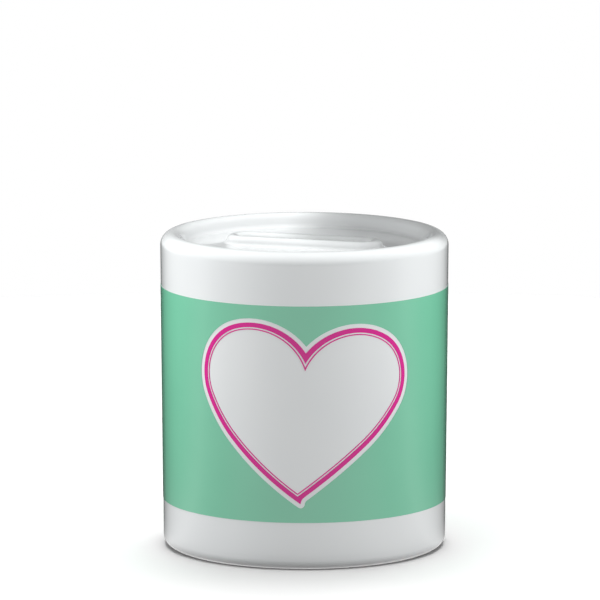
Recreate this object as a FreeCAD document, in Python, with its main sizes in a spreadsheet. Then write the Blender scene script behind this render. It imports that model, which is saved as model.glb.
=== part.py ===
import FreeCAD, Part
import math
import os
import Sketcher
from FreeCAD import Vector

# Ceramic coin bank jar: a round, slightly flared pot closed at the top by a recessed plate with a
# raised coin slot, a soft stopper in the hole of its base, and a coloured print round its wall.
# Frame: origin at the centre of the plane it stands on, +Z up, +X along the coin slot.
# The print faces print_azimuth degrees round from -Y towards +X. Millimetres and degrees.

SIZES = {
    # pot, outside
    "body_height": 90.9,
    "foot_radius": 40.64,
    "shoulder_radius": 41.43,
    "rim_round": 3.6,
    "foot_round": 2.9,
    # recessed top plate
    "recess_mouth_radius": 36.0,
    "recess_floor_radius": 34.2,
    "recess_depth": 3.8,
    "recess_lip_round": 2.9,
    "recess_floor_round": 2.0,
    "plate_thickness": 3.8,
    # raised lip round the coin slot
    "lip_half_length": 23.4,
    "lip_half_width": 6.4,
    "lip_rise": 2.35,
    "lip_crest_round": 2.0,
    "lip_foot_round": 1.2,
    "slot_half_length": 19.3,
    "slot_half_width": 2.3,
    "slot_mouth_round": 1.9,
    "slot_under_round": 0.6,
    # foot ring and base
    "foot_ring_inner_radius": 34.6,
    "foot_inner_round": 1.0,
    "base_recess": 3.0,
    "base_thickness": 4.0,
    "base_hole_radius": 17.0,
    "base_hole_round": 0.8,
    # inside of the pot
    "cavity_foot_radius": 37.1,
    "cavity_shoulder_radius": 37.75,
    "cavity_round": 5.0,
    # cutters run this far past the face they break through
    "overrun": 1.0,
    # stopper
    "flange_radius": 21.0,
    "flange_bottom": 1.5,
    "flange_top": 2.95,
    "flange_round": 0.6,
    "plug_radius": 16.6,
    "bead_radius": 16.95,
    "bead_start": 7.1,
    "bead_low": 7.7,
    "bead_high": 8.5,
    "plug_nose_radius": 15.4,
    "plug_top": 11.4,
    "hollow_radius": 14.8,
    "hollow_mouth_radius": 15.1,
    "hollow_top": 9.6,
    "grip_bar_bottom": 3.2,
    "grip_bar_half_length": 15.8,
    "grip_bar_half_width": 1.5,
    "grip_bar_round": 1.2,
    # print on the wall
    "print_thickness": 0.08,
    "band_bottom": 13.8,
    "band_top": 75.9,
    "band_seam_angle": 4.2,
    "print_azimuth": 18.0,
    # heart, laid out flat: the outer edge of the thick line, whose two halves differ a little
    "heart_height": 48.0,
    "right_lobe_x": 17.35,
    "right_lobe_z": 54.74,
    "right_lobe_radius": 13.88,
    "right_notch_radius": 18.63,
    "right_notch_join": 58.1,
    "right_side_radius": 60.6,
    "right_side_join": -35.8,
    "right_flank_radius": 488.0,
    "right_flank_join": -50.6,
    "left_lobe_x": 16.01,
    "left_lobe_z": 55.6,
    "left_lobe_radius": 15.14,
    "left_notch_radius": 18.54,
    "left_notch_join": 74.2,
    "left_side_radius": 48.3,
    "left_side_join": -25.5,
    "left_flank_radius": 123.8,
    "left_flank_join": -42.4,
    "heart_notch_tightening": 0.24,
    "heart_tip_overrun": 1.0,
    "heart_flare_length": 2.4,
    "heart_border": 1.2,
    "heart_line_width": 1.3,
    "heart_line_gap": 0.38,
    "heart_keyline_width": 0.3,
}

POINTS_PER_ARC = 13

doc = FreeCAD.newDocument("coin_bank_jar")
sheet = doc.addObject("Spreadsheet::Sheet", "Sizes")
for row, (alias, value) in enumerate(SIZES.items(), start=1):
    sheet.set(f"A{row}", alias)
    sheet.set(f"B{row}", str(value))
    sheet.setAlias(f"B{row}", alias)
doc.recompute()


# ---- formulas: names from the sheet joined by + and - --------------------------------------------

def amount(formula):
    """The value of a formula such as 'body_height - recess_depth'."""
    total = 0.0
    sign = 1.0
    for word in formula.split():
        if word in ("+", "-"):
            sign = 1.0 if word == "+" else -1.0
        else:
            total += sign * (sheet.get(word) if word in SIZES else float(word))
    return total


def expression(formula):
    """The same formula, as an expression on the sheet's cells."""
    return " ".join(f"Sizes.{word}" if word in SIZES else word for word in formula.split())


# ---- sketches ------------------------------------------------------------------------------------

def new_body(label):
    body = doc.addObject("PartDesign::Body", label)
    body.Label = label
    return body


def new_sketch(body, name, role, height=None):
    """A sketch on one of the body's origin planes, lifted by a formula where height is given."""
    sketch = body.newObject("Sketcher::SketchObject", name)
    plane = next(item for item in body.Origin.OriginFeatures if item.Role == role)
    sketch.AttachmentSupport = [(plane, "")]
    sketch.MapMode = "FlatFace"
    if height is not None:
        sketch.setExpression("AttachmentOffset.Base.z", expression(height))
    return sketch


def bind(sketch, kind, references, formula):
    """A dimension that follows a formula."""
    index = sketch.addConstraint(Sketcher.Constraint(kind, *references, amount(formula)))
    sketch.setExpression(f"Constraints[{index}]", expression(formula))


def place_point(sketch, line, end, across, up):
    """Hold one end of a line at a distance across and up from the sketch's origin."""
    for kind, axis, formula in (("DistanceX", -2, across), ("DistanceY", -1, up)):
        if formula == "0":
            sketch.addConstraint(Sketcher.Constraint("PointOnObject", line, end, axis))
        else:
            bind(sketch, kind, (-1, 1, line, end), formula)


def polygon(sketch, corners):
    """A closed outline of straight lines through corners given as pairs of formulas."""
    spots = [Vector(amount(across), amount(up), 0) for across, up in corners]
    count = len(spots)
    for index in range(count):
        sketch.addGeometry(Part.LineSegment(spots[index], spots[(index + 1) % count]), False)
    for index in range(count):
        sketch.addConstraint(Sketcher.Constraint("Coincident", index, 2, (index + 1) % count, 1))
    for index, (across, up) in enumerate(corners):
        place_point(sketch, index, 1, across, up)


def stadium(sketch, half_length, half_width):
    """A slot outline: two half circles joined by tangent lines, longest along the sketch's X."""
    reach = amount(f"{half_length} - {half_width}")
    radius = amount(half_width)
    for side in (1, -1):
        turn = 0.0 if side > 0 else math.pi
        circle = Part.Circle(Vector(side * reach, 0, 0), Vector(0, 0, 1), radius)
        sketch.addGeometry(Part.ArcOfCircle(circle, turn - math.pi / 2, turn + math.pi / 2), False)
    top = Part.LineSegment(Vector(reach, radius, 0), Vector(-reach, radius, 0))
    bottom = Part.LineSegment(Vector(-reach, -radius, 0), Vector(reach, -radius, 0))
    sketch.addGeometry([top, bottom], False)
    for first, first_end, second, second_end in ((0, 2, 2, 1), (2, 2, 1, 1), (1, 2, 3, 1), (3, 2, 0, 1)):
        sketch.addConstraint(Sketcher.Constraint("Tangent", first, first_end, second, second_end))
    sketch.addConstraint(Sketcher.Constraint("PointOnObject", 0, 3, -1))
    sketch.addConstraint(Sketcher.Constraint("PointOnObject", 1, 3, -1))
    sketch.addConstraint(Sketcher.Constraint("Equal", 0, 1))
    bind(sketch, "Radius", (0,), half_width)
    bind(sketch, "DistanceX", (-1, 1, 0, 3), f"{half_length} - {half_width}")
    bind(sketch, "DistanceX", (1, 3, -1, 1), f"{half_length} - {half_width}")


def rectangle(sketch, half_length, half_width):
    """A rectangle centred on the sketch's origin, longest along its X."""
    reach = amount(half_length)
    width = amount(half_width)
    corners = [Vector(across * reach, up * width, 0) for across, up in ((-1, -1), (1, -1), (1, 1), (-1, 1))]
    for index in range(4):
        sketch.addGeometry(Part.LineSegment(corners[index], corners[(index + 1) % 4]), False)
    for index, kind in enumerate(("Horizontal", "Vertical", "Horizontal", "Vertical")):
        sketch.addConstraint(Sketcher.Constraint("Coincident", index, 2, (index + 1) % 4, 1))
        sketch.addConstraint(Sketcher.Constraint(kind, index))
    sketch.addConstraint(Sketcher.Constraint("Symmetric", 0, 1, 2, 1, -1, 1))
    bind(sketch, "DistanceX", (-1, 1, 2, 1), half_length)
    bind(sketch, "DistanceY", (-1, 1, 2, 1), half_width)


def circle_outline(sketch, radius):
    sketch.addGeometry(Part.Circle(Vector(0, 0, 0), Vector(0, 0, 1), amount(radius)), False)
    sketch.addConstraint(Sketcher.Constraint("Coincident", 0, 3, -1, 1))
    bind(sketch, "Radius", (0,), radius)


# ---- features ------------------------------------------------------------------------------------

def revolve(body, kind, name, sketch):
    """A Revolution or Groove all round the sketch's upright axis."""
    feature = body.newObject(kind, name)
    feature.Profile = sketch
    feature.ReferenceAxis = (sketch, ["V_Axis"])
    feature.Angle = 360.0
    doc.recompute()
    return feature


def extrude(body, kind, name, sketch, length, upwards):
    """A Pad or Pocket of a given length, up or down from its sketch."""
    feature = body.newObject(kind, name)
    feature.Profile = sketch
    feature.setExpression("Length", expression(length))
    feature.Reversed = upwards == (kind == "PartDesign::Pocket")
    doc.recompute()
    return feature


def round_edges(body, name, radius, chosen):
    """Fillet those edges of the body that the function chosen picks."""
    base = body.Tip
    names = [f"Edge{index}" for index, edge in enumerate(base.Shape.Edges, start=1) if chosen(edge)]
    fillet = body.newObject("PartDesign::Fillet", name)
    fillet.Base = (base, names)
    fillet.setExpression("Radius", expression(radius))
    doc.recompute()
    return fillet


def same(first, second):
    return abs(first - second) < 0.01


def edge_ring(radius, height):
    """Picks the circle of that radius and height about the Z axis."""
    def chosen(edge):
        if not isinstance(edge.Curve, Part.Circle):
            return False
        centre = edge.Curve.Center
        on_axis = math.hypot(centre.x, centre.y) < 0.01
        return on_axis and same(edge.Curve.Radius, amount(radius)) and same(centre.z, amount(height))
    return chosen


def edge_stadium(half_width, height):
    """Picks the edges of a stadium outline at one height."""
    def chosen(edge):
        box = edge.BoundBox
        level = same(box.ZMin, amount(height)) and same(box.ZMax, amount(height))
        if isinstance(edge.Curve, Part.Circle):
            return level and same(edge.Curve.Radius, amount(half_width))
        return level and same(abs(box.YMin), amount(half_width)) and same(box.YMin, box.YMax)
    return chosen


def removed_something(feature, before):
    """A cut that points away from the solid takes nothing away, so its volume is compared."""
    if feature.Shape.Volume > before - 1.0:
        raise RuntimeError(f"{feature.Name} cut nothing")


# ---- jar body ------------------------------------------------------------------------------------

def make_jar_body():
    """Slip-cast pot and top plate, one fired piece."""
    body = new_body("jar_body")
    plate_top = "body_height - recess_depth"
    plate_bottom = f"{plate_top} - plate_thickness"
    lip_top = f"{plate_top} + lip_rise"
    floor_top = "base_recess + base_thickness"

    outside = new_sketch(body, "outside_section", "XZ_Plane")
    polygon(outside, [
        ("0", "base_recess"),
        ("foot_ring_inner_radius", "base_recess"),
        ("foot_ring_inner_radius", "0"),
        ("foot_radius", "0"),
        ("shoulder_radius", "body_height"),
        ("recess_mouth_radius", "body_height"),
        ("recess_floor_radius", plate_top),
        ("0", plate_top),
    ])
    revolve(body, "PartDesign::Revolution", "outside", outside)

    lip_outline = new_sketch(body, "lip_outline", "XY_Plane", plate_top)
    stadium(lip_outline, "lip_half_length", "lip_half_width")
    lip = extrude(body, "PartDesign::Pad", "slot_lip", lip_outline, "lip_rise", True)

    inside = new_sketch(body, "inside_section", "XZ_Plane")
    polygon(inside, [
        ("0", floor_top),
        ("cavity_foot_radius", floor_top),
        ("cavity_shoulder_radius", plate_bottom),
        ("0", plate_bottom),
    ])
    cavity = revolve(body, "PartDesign::Groove", "cavity", inside)
    removed_something(cavity, lip.Shape.Volume)
    round_edges(body, "cavity_floor_round", "cavity_round", edge_ring("cavity_foot_radius", floor_top))
    softened = round_edges(body, "cavity_ceiling_round", "cavity_round",
                           edge_ring("cavity_shoulder_radius", plate_bottom))

    slot_outline = new_sketch(body, "slot_outline", "XY_Plane", lip_top)
    stadium(slot_outline, "slot_half_length", "slot_half_width")
    slot = extrude(body, "PartDesign::Pocket", "coin_slot", slot_outline,
                   "lip_rise + plate_thickness + overrun", False)
    removed_something(slot, softened.Shape.Volume)

    hole_outline = new_sketch(body, "base_hole_outline", "XY_Plane")
    circle_outline(hole_outline, "base_hole_radius")
    hole = extrude(body, "PartDesign::Pocket", "base_hole", hole_outline, f"{floor_top} + overrun", True)
    removed_something(hole, slot.Shape.Volume)

    for name, radius, chosen in (
        ("rim_outer_round", "rim_round", edge_ring("shoulder_radius", "body_height")),
        ("rim_inner_round", "recess_lip_round", edge_ring("recess_mouth_radius", "body_height")),
        ("recess_corner_round", "recess_floor_round", edge_ring("recess_floor_radius", plate_top)),
        ("foot_outer_round", "foot_round", edge_ring("foot_radius", "0")),
        ("foot_ring_round", "foot_inner_round", edge_ring("foot_ring_inner_radius", "0")),
        ("base_corner_round", "foot_inner_round", edge_ring("foot_ring_inner_radius", "base_recess")),
        ("hole_lower_round", "base_hole_round", edge_ring("base_hole_radius", "base_recess")),
        ("hole_upper_round", "base_hole_round", edge_ring("base_hole_radius", floor_top)),
        ("lip_root_round", "lip_foot_round", edge_stadium("lip_half_width", plate_top)),
        ("lip_top_round", "lip_crest_round", edge_stadium("lip_half_width", lip_top)),
        ("slot_top_round", "slot_mouth_round", edge_stadium("slot_half_width", lip_top)),
        ("slot_bottom_round", "slot_under_round", edge_stadium("slot_half_width", plate_bottom)),
    ):
        round_edges(body, name, radius, chosen)
    return body


# ---- stopper -------------------------------------------------------------------------------------

def make_base_stopper():
    """Soft moulded plug: a flange under the base, a beaded cup in the hole and a bar to pull it by."""
    body = new_body("base_stopper")
    section = new_sketch(body, "stopper_section", "XZ_Plane")
    polygon(section, [
        ("0", "hollow_top"),
        ("hollow_radius", "hollow_top"),
        ("hollow_mouth_radius", "flange_bottom"),
        ("flange_radius", "flange_bottom"),
        ("flange_radius", "flange_top"),
        ("plug_radius", "flange_top"),
        ("plug_radius", "bead_start"),
        ("bead_radius", "bead_low"),
        ("bead_radius", "bead_high"),
        ("plug_nose_radius", "plug_top"),
        ("0", "plug_top"),
    ])
    cup = revolve(body, "PartDesign::Revolution", "plug", section)

    bar_outline = new_sketch(body, "grip_bar_outline", "XY_Plane", "grip_bar_bottom")
    rectangle(bar_outline, "grip_bar_half_length", "grip_bar_half_width")
    bar = extrude(body, "PartDesign::Pad", "grip_bar", bar_outline, "hollow_top - grip_bar_bottom", True)
    if bar.Shape.Volume < cup.Shape.Volume + 1.0:
        raise RuntimeError("grip_bar added nothing")

    def bar_edge(edge):
        box = edge.BoundBox
        straight = isinstance(edge.Curve, Part.Line)
        low = same(box.ZMin, amount("grip_bar_bottom")) and same(box.ZMax, amount("grip_bar_bottom"))
        return straight and low and same(abs(box.YMin), amount("grip_bar_half_width"))

    round_edges(body, "grip_bar_soft_edge", "grip_bar_round", bar_edge)
    round_edges(body, "flange_lower_edge", "flange_round", edge_ring("flange_radius", "flange_bottom"))
    round_edges(body, "flange_upper_edge", "flange_round", edge_ring("flange_radius", "flange_top"))
    return body


# ---- print on the wall ---------------------------------------------------------------------------

def make_print_sleeve():
    """Thin sleeve on the flared wall, as high as the band and open at its seam behind the heart."""
    body = new_body("print_sleeve")
    section = new_sketch(body, "sleeve_section", "XZ_Plane")
    wall = Part.LineSegment(Vector(amount("foot_radius"), 0, 0),
                            Vector(amount("shoulder_radius"), amount("body_height"), 0))
    section.addGeometry(wall, True)
    place_point(section, 0, 1, "foot_radius", "0")
    place_point(section, 0, 2, "shoulder_radius", "body_height")
    inner = amount("foot_radius")
    outer = amount("shoulder_radius + print_thickness")
    low = amount("band_bottom")
    high = amount("band_top")
    corners = [Vector(inner, low, 0), Vector(outer, low, 0), Vector(outer, high, 0), Vector(inner, high, 0)]
    for index in range(4):
        section.addGeometry(Part.LineSegment(corners[index], corners[(index + 1) % 4]), False)
    bottom, outside, top, inside = 1, 2, 3, 4
    for first, second in ((bottom, outside), (outside, top), (top, inside), (inside, bottom)):
        section.addConstraint(Sketcher.Constraint("Coincident", first, 2, second, 1))
    for end in (1, 2):
        section.addConstraint(Sketcher.Constraint("PointOnObject", inside, end, 0))
    section.addConstraint(Sketcher.Constraint("Horizontal", bottom))
    section.addConstraint(Sketcher.Constraint("Horizontal", top))
    section.addConstraint(Sketcher.Constraint("Parallel", outside, 0))
    bind(section, "DistanceY", (-1, 1, bottom, 1), "band_bottom")
    bind(section, "DistanceY", (-1, 1, top, 1), "band_top")
    bind(section, "Distance", (outside, 1, 0), "print_thickness")
    sleeve = revolve(body, "PartDesign::Revolution", "sleeve", section)
    sleeve.setExpression("Angle", expression("360 - band_seam_angle"))
    seam_end = "90 + Sizes.print_azimuth + Sizes.band_seam_angle / 2"
    body.setExpression("Placement.Rotation.Angle", f"({seam_end}) * 1 deg")
    doc.recompute()
    return body


def direction(angle):
    return Vector(math.cos(angle), math.sin(angle), 0)


def bearing(vector):
    return math.atan2(vector.y, vector.x)


def flipped(spot):
    """A spot of the flat heart seen in its upright centre line."""
    return Vector(-spot.x, spot.y, 0)


def mirrored(arc):
    centre, radius, start, end = arc
    return flipped(centre), radius, math.pi - start, math.pi - end


def heart_half(side, grow):
    """Centres, radii and join angles of one half's outer edge, laid out as if on the right.

    Lines inside the outer edge dip more sharply into the notch than the edge itself does.
    """
    def size(name):
        return getattr(sheet, f"{side}_{name}")

    lobe = Vector(size("lobe_x"), size("lobe_z"), 0)
    notch_join = math.radians(size("notch_join"))
    side_join = math.radians(size("side_join"))
    flank_join = math.radians(size("flank_join"))
    notch_radius = size("notch_radius") + sheet.heart_notch_tightening * min(grow, 0)
    notch_centre = lobe + direction(notch_join) * (size("lobe_radius") - notch_radius)
    side_centre = lobe + direction(side_join) * (size("lobe_radius") - size("side_radius"))
    flank_centre = side_centre + direction(flank_join) * (size("side_radius") - size("flank_radius"))
    return {
        "flank": (flank_centre, size("flank_radius")),
        "side": (side_centre, size("side_radius")),
        "lobe": (lobe, size("lobe_radius")),
        "notch": (notch_centre, notch_radius),
        "joins": (flank_join, side_join, notch_join),
    }


def crossing(right_circle, left_circle, grow):
    """Where the two halves meet at the tip or in the notch, with both moved outwards by grow."""
    (right_centre, right_radius), (left_centre, left_radius) = right_circle, left_circle
    across = flipped(left_centre) - right_centre
    gap = across.Length
    along = ((right_radius + grow) ** 2 - (left_radius + grow) ** 2 + gap ** 2) / (2 * gap)
    rise = math.sqrt((right_radius + grow) ** 2 - along ** 2)
    return right_centre + (across * along + Vector(across.y, -across.x, 0) * rise) / gap


def heart_arcs(grow):
    """Arcs (centre, radius, start, end) of a heart line laid flat.

    Grow moves the line outwards from the thick line's outer edge, or inwards where it is negative.
    The outer edge and what lies outside it flare at the tip: the left flank runs on past the right
    one and a hollow curve brings the right flank down to it.
    """
    right, left = heart_half("right", grow), heart_half("left", grow)
    notch = crossing(right["notch"], left["notch"], grow)
    meeting = crossing(right["flank"], left["flank"], min(grow, 0))
    right_end = bearing(meeting - right["flank"][0])
    left_end = bearing(flipped(meeting) - left["flank"][0])

    def half(half_sizes, flank_end, notch_end):
        turns = (flank_end, *half_sizes["joins"], notch_end)
        arcs = []
        for index, name in enumerate(("flank", "side", "lobe", "notch")):
            centre, radius = half_sizes[name]
            arcs.append((centre, radius + grow, turns[index], turns[index + 1]))
        return arcs

    if grow >= 0:
        right_end += sheet.heart_flare_length / right["flank"][1]
        left_end -= sheet.heart_tip_overrun / left["flank"][1]
    arcs = half(right, right_end, bearing(notch - right["notch"][0]))
    arcs += [mirrored(arc) for arc in half(left, left_end, bearing(flipped(notch) - left["notch"][0]))]
    if grow < 0:
        return arcs

    tip = flipped(left["flank"][0] + direction(left_end) * left["flank"][1])
    outward = direction(right_end)
    reach = tip - (right["flank"][0] + outward * right["flank"][1])
    flare_radius = reach.dot(reach) / (2 * outward.dot(reach))
    flare = right["flank"][0] + outward * (right["flank"][1] + flare_radius)
    flare_end = bearing(tip - flare)
    if flare_end < right_end:
        flare_end += 2 * math.pi
    arcs.append((flare, flare_radius - grow, flare_end, right_end + math.pi))
    if grow > 0:
        arcs.append((tip, grow, -math.pi - left_end, flare_end - math.pi))
    return arcs


def wall_radius(height):
    """Outer radius of the flared wall at a height."""
    flare = (sheet.shoulder_radius - sheet.foot_radius) / sheet.body_height
    return sheet.foot_radius + flare * height


def wrapped(spot, depth):
    """A spot of the flat print laid on the wall, or moved outwards from it by depth."""
    around = math.radians(sheet.print_azimuth - 90) + spot.x / wall_radius(sheet.heart_height)
    return direction(around) * (wall_radius(spot.y) + depth) + Vector(0, 0, spot.y)


def heart_fence(grow):
    """A closed wall of radial faces that stands through the sleeve along one heart line."""
    faces = []
    for centre, radius, start, end in heart_arcs(grow):
        turns = [start + (end - start) * step / (POINTS_PER_ARC - 1) for step in range(POINTS_PER_ARC)]
        spots = [centre + direction(turn) * radius for turn in turns]
        edges = []
        for depth in (-sheet.overrun, sheet.overrun):
            curve = Part.BSplineCurve()
            curve.interpolate([wrapped(spot, depth) for spot in spots])
            edges.append(curve.toShape())
        faces.append(Part.makeRuledSurface(*edges))
    return Part.makeShell(faces)


def make_print_pieces(sleeve):
    """The band with its heart window, the thick line and the fine keyline, cut from the sleeve."""
    line_inner = -sheet.heart_line_width
    keyline_outer = line_inner - sheet.heart_line_gap
    keyline_inner = keyline_outer - sheet.heart_keyline_width
    heart_lines = (sheet.heart_border, 0.0, line_inner, keyline_outer, keyline_inner)
    fragments = sleeve.Shape.generalFuse([heart_fence(grow) for grow in heart_lines])[0].Solids

    def fragment_at(grow):
        lobe_side = Vector(sheet.right_lobe_x + sheet.right_lobe_radius + grow, sheet.right_lobe_z, 0)
        spot = wrapped(lobe_side, sheet.print_thickness / 2)
        return min(fragments, key=lambda solid: solid.distToShape(Part.Vertex(spot))[0])

    pieces = []
    for label, grow in (
        ("print_band", 2 * sheet.heart_border),
        ("print_heart_outline", line_inner / 2),
        ("print_heart_keyline", (keyline_outer + keyline_inner) / 2),
    ):
        piece = doc.addObject("Part::Feature", label)
        piece.Label = label
        piece.Shape = fragment_at(grow)
        pieces.append(piece)
    doc.recompute()
    return pieces


# ---- document ------------------------------------------------------------------------------------

jar_body = make_jar_body()
base_stopper = make_base_stopper()
print_sleeve = make_print_sleeve()
print_pieces = make_print_pieces(print_sleeve)
sub_parts = [jar_body, base_stopper, *print_pieces]
doc.recompute()

for item in doc.Objects:
    if "Invalid" in item.State or "Error" in item.State:
        raise RuntimeError(f"{item.Label} failed: {item.State}")
for sub_part in sub_parts:
    shape = sub_part.Shape
    if shape.isNull() or not shape.isValid() or len(shape.Solids) != 1:
        raise RuntimeError(f"{sub_part.Label} is not one valid solid")

os.makedirs("parts", exist_ok=True)
for sub_part in sub_parts:
    sub_part.Shape.exportStep(f"parts/{sub_part.Label}.step")
    box = sub_part.Shape.BoundBox
    print(f"{sub_part.Label}: volume {sub_part.Shape.Volume:.1f} mm3, "
          f"x {box.XMin:.2f} to {box.XMax:.2f}, y {box.YMin:.2f} to {box.YMax:.2f}, "
          f"z {box.ZMin:.2f} to {box.ZMax:.2f}")
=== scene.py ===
import math

import bmesh
import bpy
import numpy as np
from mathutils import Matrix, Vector


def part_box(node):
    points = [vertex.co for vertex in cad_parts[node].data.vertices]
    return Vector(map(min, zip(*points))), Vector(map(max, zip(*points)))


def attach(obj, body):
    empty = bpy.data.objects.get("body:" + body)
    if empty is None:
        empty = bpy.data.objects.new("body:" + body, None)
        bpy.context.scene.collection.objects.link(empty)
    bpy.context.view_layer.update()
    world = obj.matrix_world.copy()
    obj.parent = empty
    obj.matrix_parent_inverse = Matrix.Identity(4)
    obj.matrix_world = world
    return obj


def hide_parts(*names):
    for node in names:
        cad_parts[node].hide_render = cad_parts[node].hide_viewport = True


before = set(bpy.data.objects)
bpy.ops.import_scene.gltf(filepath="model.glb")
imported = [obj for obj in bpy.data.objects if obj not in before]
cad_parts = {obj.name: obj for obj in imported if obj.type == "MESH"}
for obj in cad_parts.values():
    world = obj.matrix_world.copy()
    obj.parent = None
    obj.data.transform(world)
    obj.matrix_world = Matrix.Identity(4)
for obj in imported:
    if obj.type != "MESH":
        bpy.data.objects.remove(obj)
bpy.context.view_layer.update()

# A glazed ceramic coin bank with a coloured print round its wall and a soft stopper in its base.
# The object's lengths are in millimetres and become metres where a mesh is made. The sizes in
# materials and in the studio are in metres.
MM = 0.001

_, jar_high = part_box("jar_body")
stopper_low, stopper_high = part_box("base_stopper")
band_low, band_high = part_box("print_band")

# ---- sizes: the jar ------------------------------------------------------------------------------

BODY_HEIGHT = jar_high.z / MM
FOOT_RADIUS = 40.64
SHOULDER_RADIUS = 41.43
RIM_ROUND = 3.6
FOOT_ROUND = 2.9
RECESS_MOUTH_RADIUS = 36.0
RECESS_FLOOR_RADIUS = 34.2
RECESS_LIP_ROUND = 2.9
RECESS_FLOOR_ROUND = 2.0
RECESS_DEPTH = 3.8
PLATE_THICKNESS = 3.8
PLATE_TOP = BODY_HEIGHT - RECESS_DEPTH
PLATE_BOTTOM = PLATE_TOP - PLATE_THICKNESS
LIP_RISE = 2.35
LIP_TOP = PLATE_TOP + LIP_RISE
LIP_HALF_WIDTH = 6.4
LIP_CREST_ROUND = 2.0
LIP_FOOT_ROUND = 1.2
SLOT_HALF_WIDTH = 2.3
SLOT_REACH = 17.0
SLOT_MOUTH_ROUND = 1.9
SLOT_UNDER_ROUND = 0.6
FOOT_RING_INNER_RADIUS = 34.6
FOOT_INNER_ROUND = 1.0
BASE_UNDERSIDE = 3.0
BASE_TOP = 7.0
BASE_HOLE_RADIUS = 17.0
BASE_HOLE_ROUND = 0.8
CAVITY_FOOT_RADIUS = 37.1
CAVITY_SHOULDER_RADIUS = 37.75
CAVITY_ROUND = 5.0
UNGLAZED_HEIGHT = 0.25

# the mesh steps round each end and along each side of the slot; a whole loop has two of both
END_STEPS = 40
SIDE_STEPS = 80
AROUND_STEPS = 2 * (END_STEPS + SIDE_STEPS)
# how far from the lip, the slot and the two walls the loops turn from stadiums to circles
LIP_MARGIN = 2.0
SLOT_UNDER_MARGIN = 1.3
RECESS_WALL_MARGIN = 2.6
CAVITY_WALL_MARGIN = 6.5
BLEND_STEPS = 14
SLOT_SPACING = 1.0
WALL_SPACING = 2.0
JAR_SHARP_ANGLE = 60.0

# ---- sizes: the print ----------------------------------------------------------------------------

INK_THICKNESS = 0.08
BAND_BOTTOM = band_low.z / MM
BAND_TOP = band_high.z / MM
BAND_SEAM_ANGLE = math.radians(4.2)
PRINT_AZIMUTH = math.radians(18.0)
HEART_HEIGHT = 48.0
# The outer edge of the thick line, one set of arcs for each half, both laid out as if on the right.
# A lobe has its centre, across and up, and its radius. Every other arc has its radius and the angle
# in degrees at which it joins the arc before it, counted from the lobe.
RIGHT_HALF = {
    "lobe": (17.35, 54.74, 13.88),
    "notch": (18.63, 58.1),
    "side": (60.6, -35.8),
    "flank": (488.0, -50.6),
}
LEFT_HALF = {
    "lobe": (16.01, 55.6, 15.14),
    "notch": (18.54, 74.2),
    "side": (48.3, -25.5),
    "flank": (123.8, -42.4),
}
HEART_NOTCH_TIGHTENING = 0.24
HEART_TIP_OVERRUN = 1.0
HEART_FLARE_LENGTH = 2.4
HEART_BORDER = 1.2
HEART_LINE_WIDTH = 1.3
HEART_LINE_GAP = 0.38
HEART_KEYLINE_WIDTH = 0.3

FLARE_STEPS = 5
TIP_STEPS = 10
FLANK_STEPS = 28
SIDE_ARC_STEPS = 20
LOBE_STEPS = 44
NOTCH_STEPS = 36
HEART_LINE_STEPS = 3
HEART_KEYLINE_STEPS = 2
# a panel of the band that holds the heart window, meshed in rings; plain columns make up the rest
PANEL_HALF_WIDTH = 38.0
PANEL_RINGS = 16
PANEL_RING_SPREAD = 1.25
BAND_COLUMNS = 60
TINY = 1e-6

# ---- sizes: the stopper --------------------------------------------------------------------------

FLANGE_BOTTOM = stopper_low.z / MM
FLANGE_TOP = 2.95
FLANGE_RADIUS = stopper_high.x / MM
FLANGE_ROUND = 0.6
FLANGE_NECK_ROUND = 0.25
GROOVE_INNER_RADIUS = 18.2
GROOVE_OUTER_RADIUS = 19.3
GROOVE_SLOPE = 0.15
GROOVE_DEPTH = 0.25
GROOVE_EDGE_ROUND = 0.2
GROOVE_FLOOR_ROUND = 0.1
PLUG_RADIUS = 16.6
PLUG_NOSE_RADIUS = 15.4
PLUG_NOSE_ROUND = 0.7
PLUG_TOP = stopper_high.z / MM
RIB_RISE = 0.12
RIB_HEIGHTS = (4.2, 4.6, 5.0)
RIB_ROUND = 0.1
BEAD_RADIUS = 16.95
BEAD_START = 7.1
BEAD_LOW = 7.7
BEAD_HIGH = 8.5
BEAD_START_ROUND = 0.3
BEAD_LOW_ROUND = 0.25
BEAD_HIGH_ROUND = 0.4
HOLLOW_RADIUS = 14.8
HOLLOW_MOUTH_RADIUS = 15.1
HOLLOW_MOUTH_ROUND = 0.5
HOLLOW_TOP = 9.6
HOLLOW_TOP_ROUND = 1.2
GRIP_BAR_BOTTOM = 3.2
GRIP_BAR_SINK = 0.4
GRIP_BAR_HALF_LENGTH = 15.8
GRIP_BAR_HALF_WIDTH = 1.5
GRIP_BAR_ROUND = 1.2

STOPPER_STEPS = 192
STOPPER_SPACING = 1.5
STOPPER_ARC_STEPS = 6
STOPPER_SHARP_ANGLE = 32.0
GRIP_BAR_STEPS = 24
GRIP_BAR_SPACING = 1.0

# ---- sizes: the studio ---------------------------------------------------------------------------

CAMERA_DISTANCE = 1.8
CAMERA_HEIGHT = 0.366
CAMERA_PITCH = math.radians(9.307)
CAMERA_SIDE_AIM = 0.00127
CAMERA_LENS = 380.5
CAMERA_CLIP_START = 0.05
CAMERA_CLIP_END = 20.0
SENSOR_WIDTH = 36.0

RING_STEPS = 128
FLOOR_HOLE_RADIUS = 0.0368
FLOOR_RADIUS = 0.45
FLOOR_RINGS = (FLOOR_HOLE_RADIUS, 0.06, 0.12, 0.25, FLOOR_RADIUS)
UNDERSIDE_HEIGHT = -0.001
BACKDROP_RADIUS = 4.5
BACKDROP_SEGMENTS = 64
BACKDROP_RINGS = 32

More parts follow.
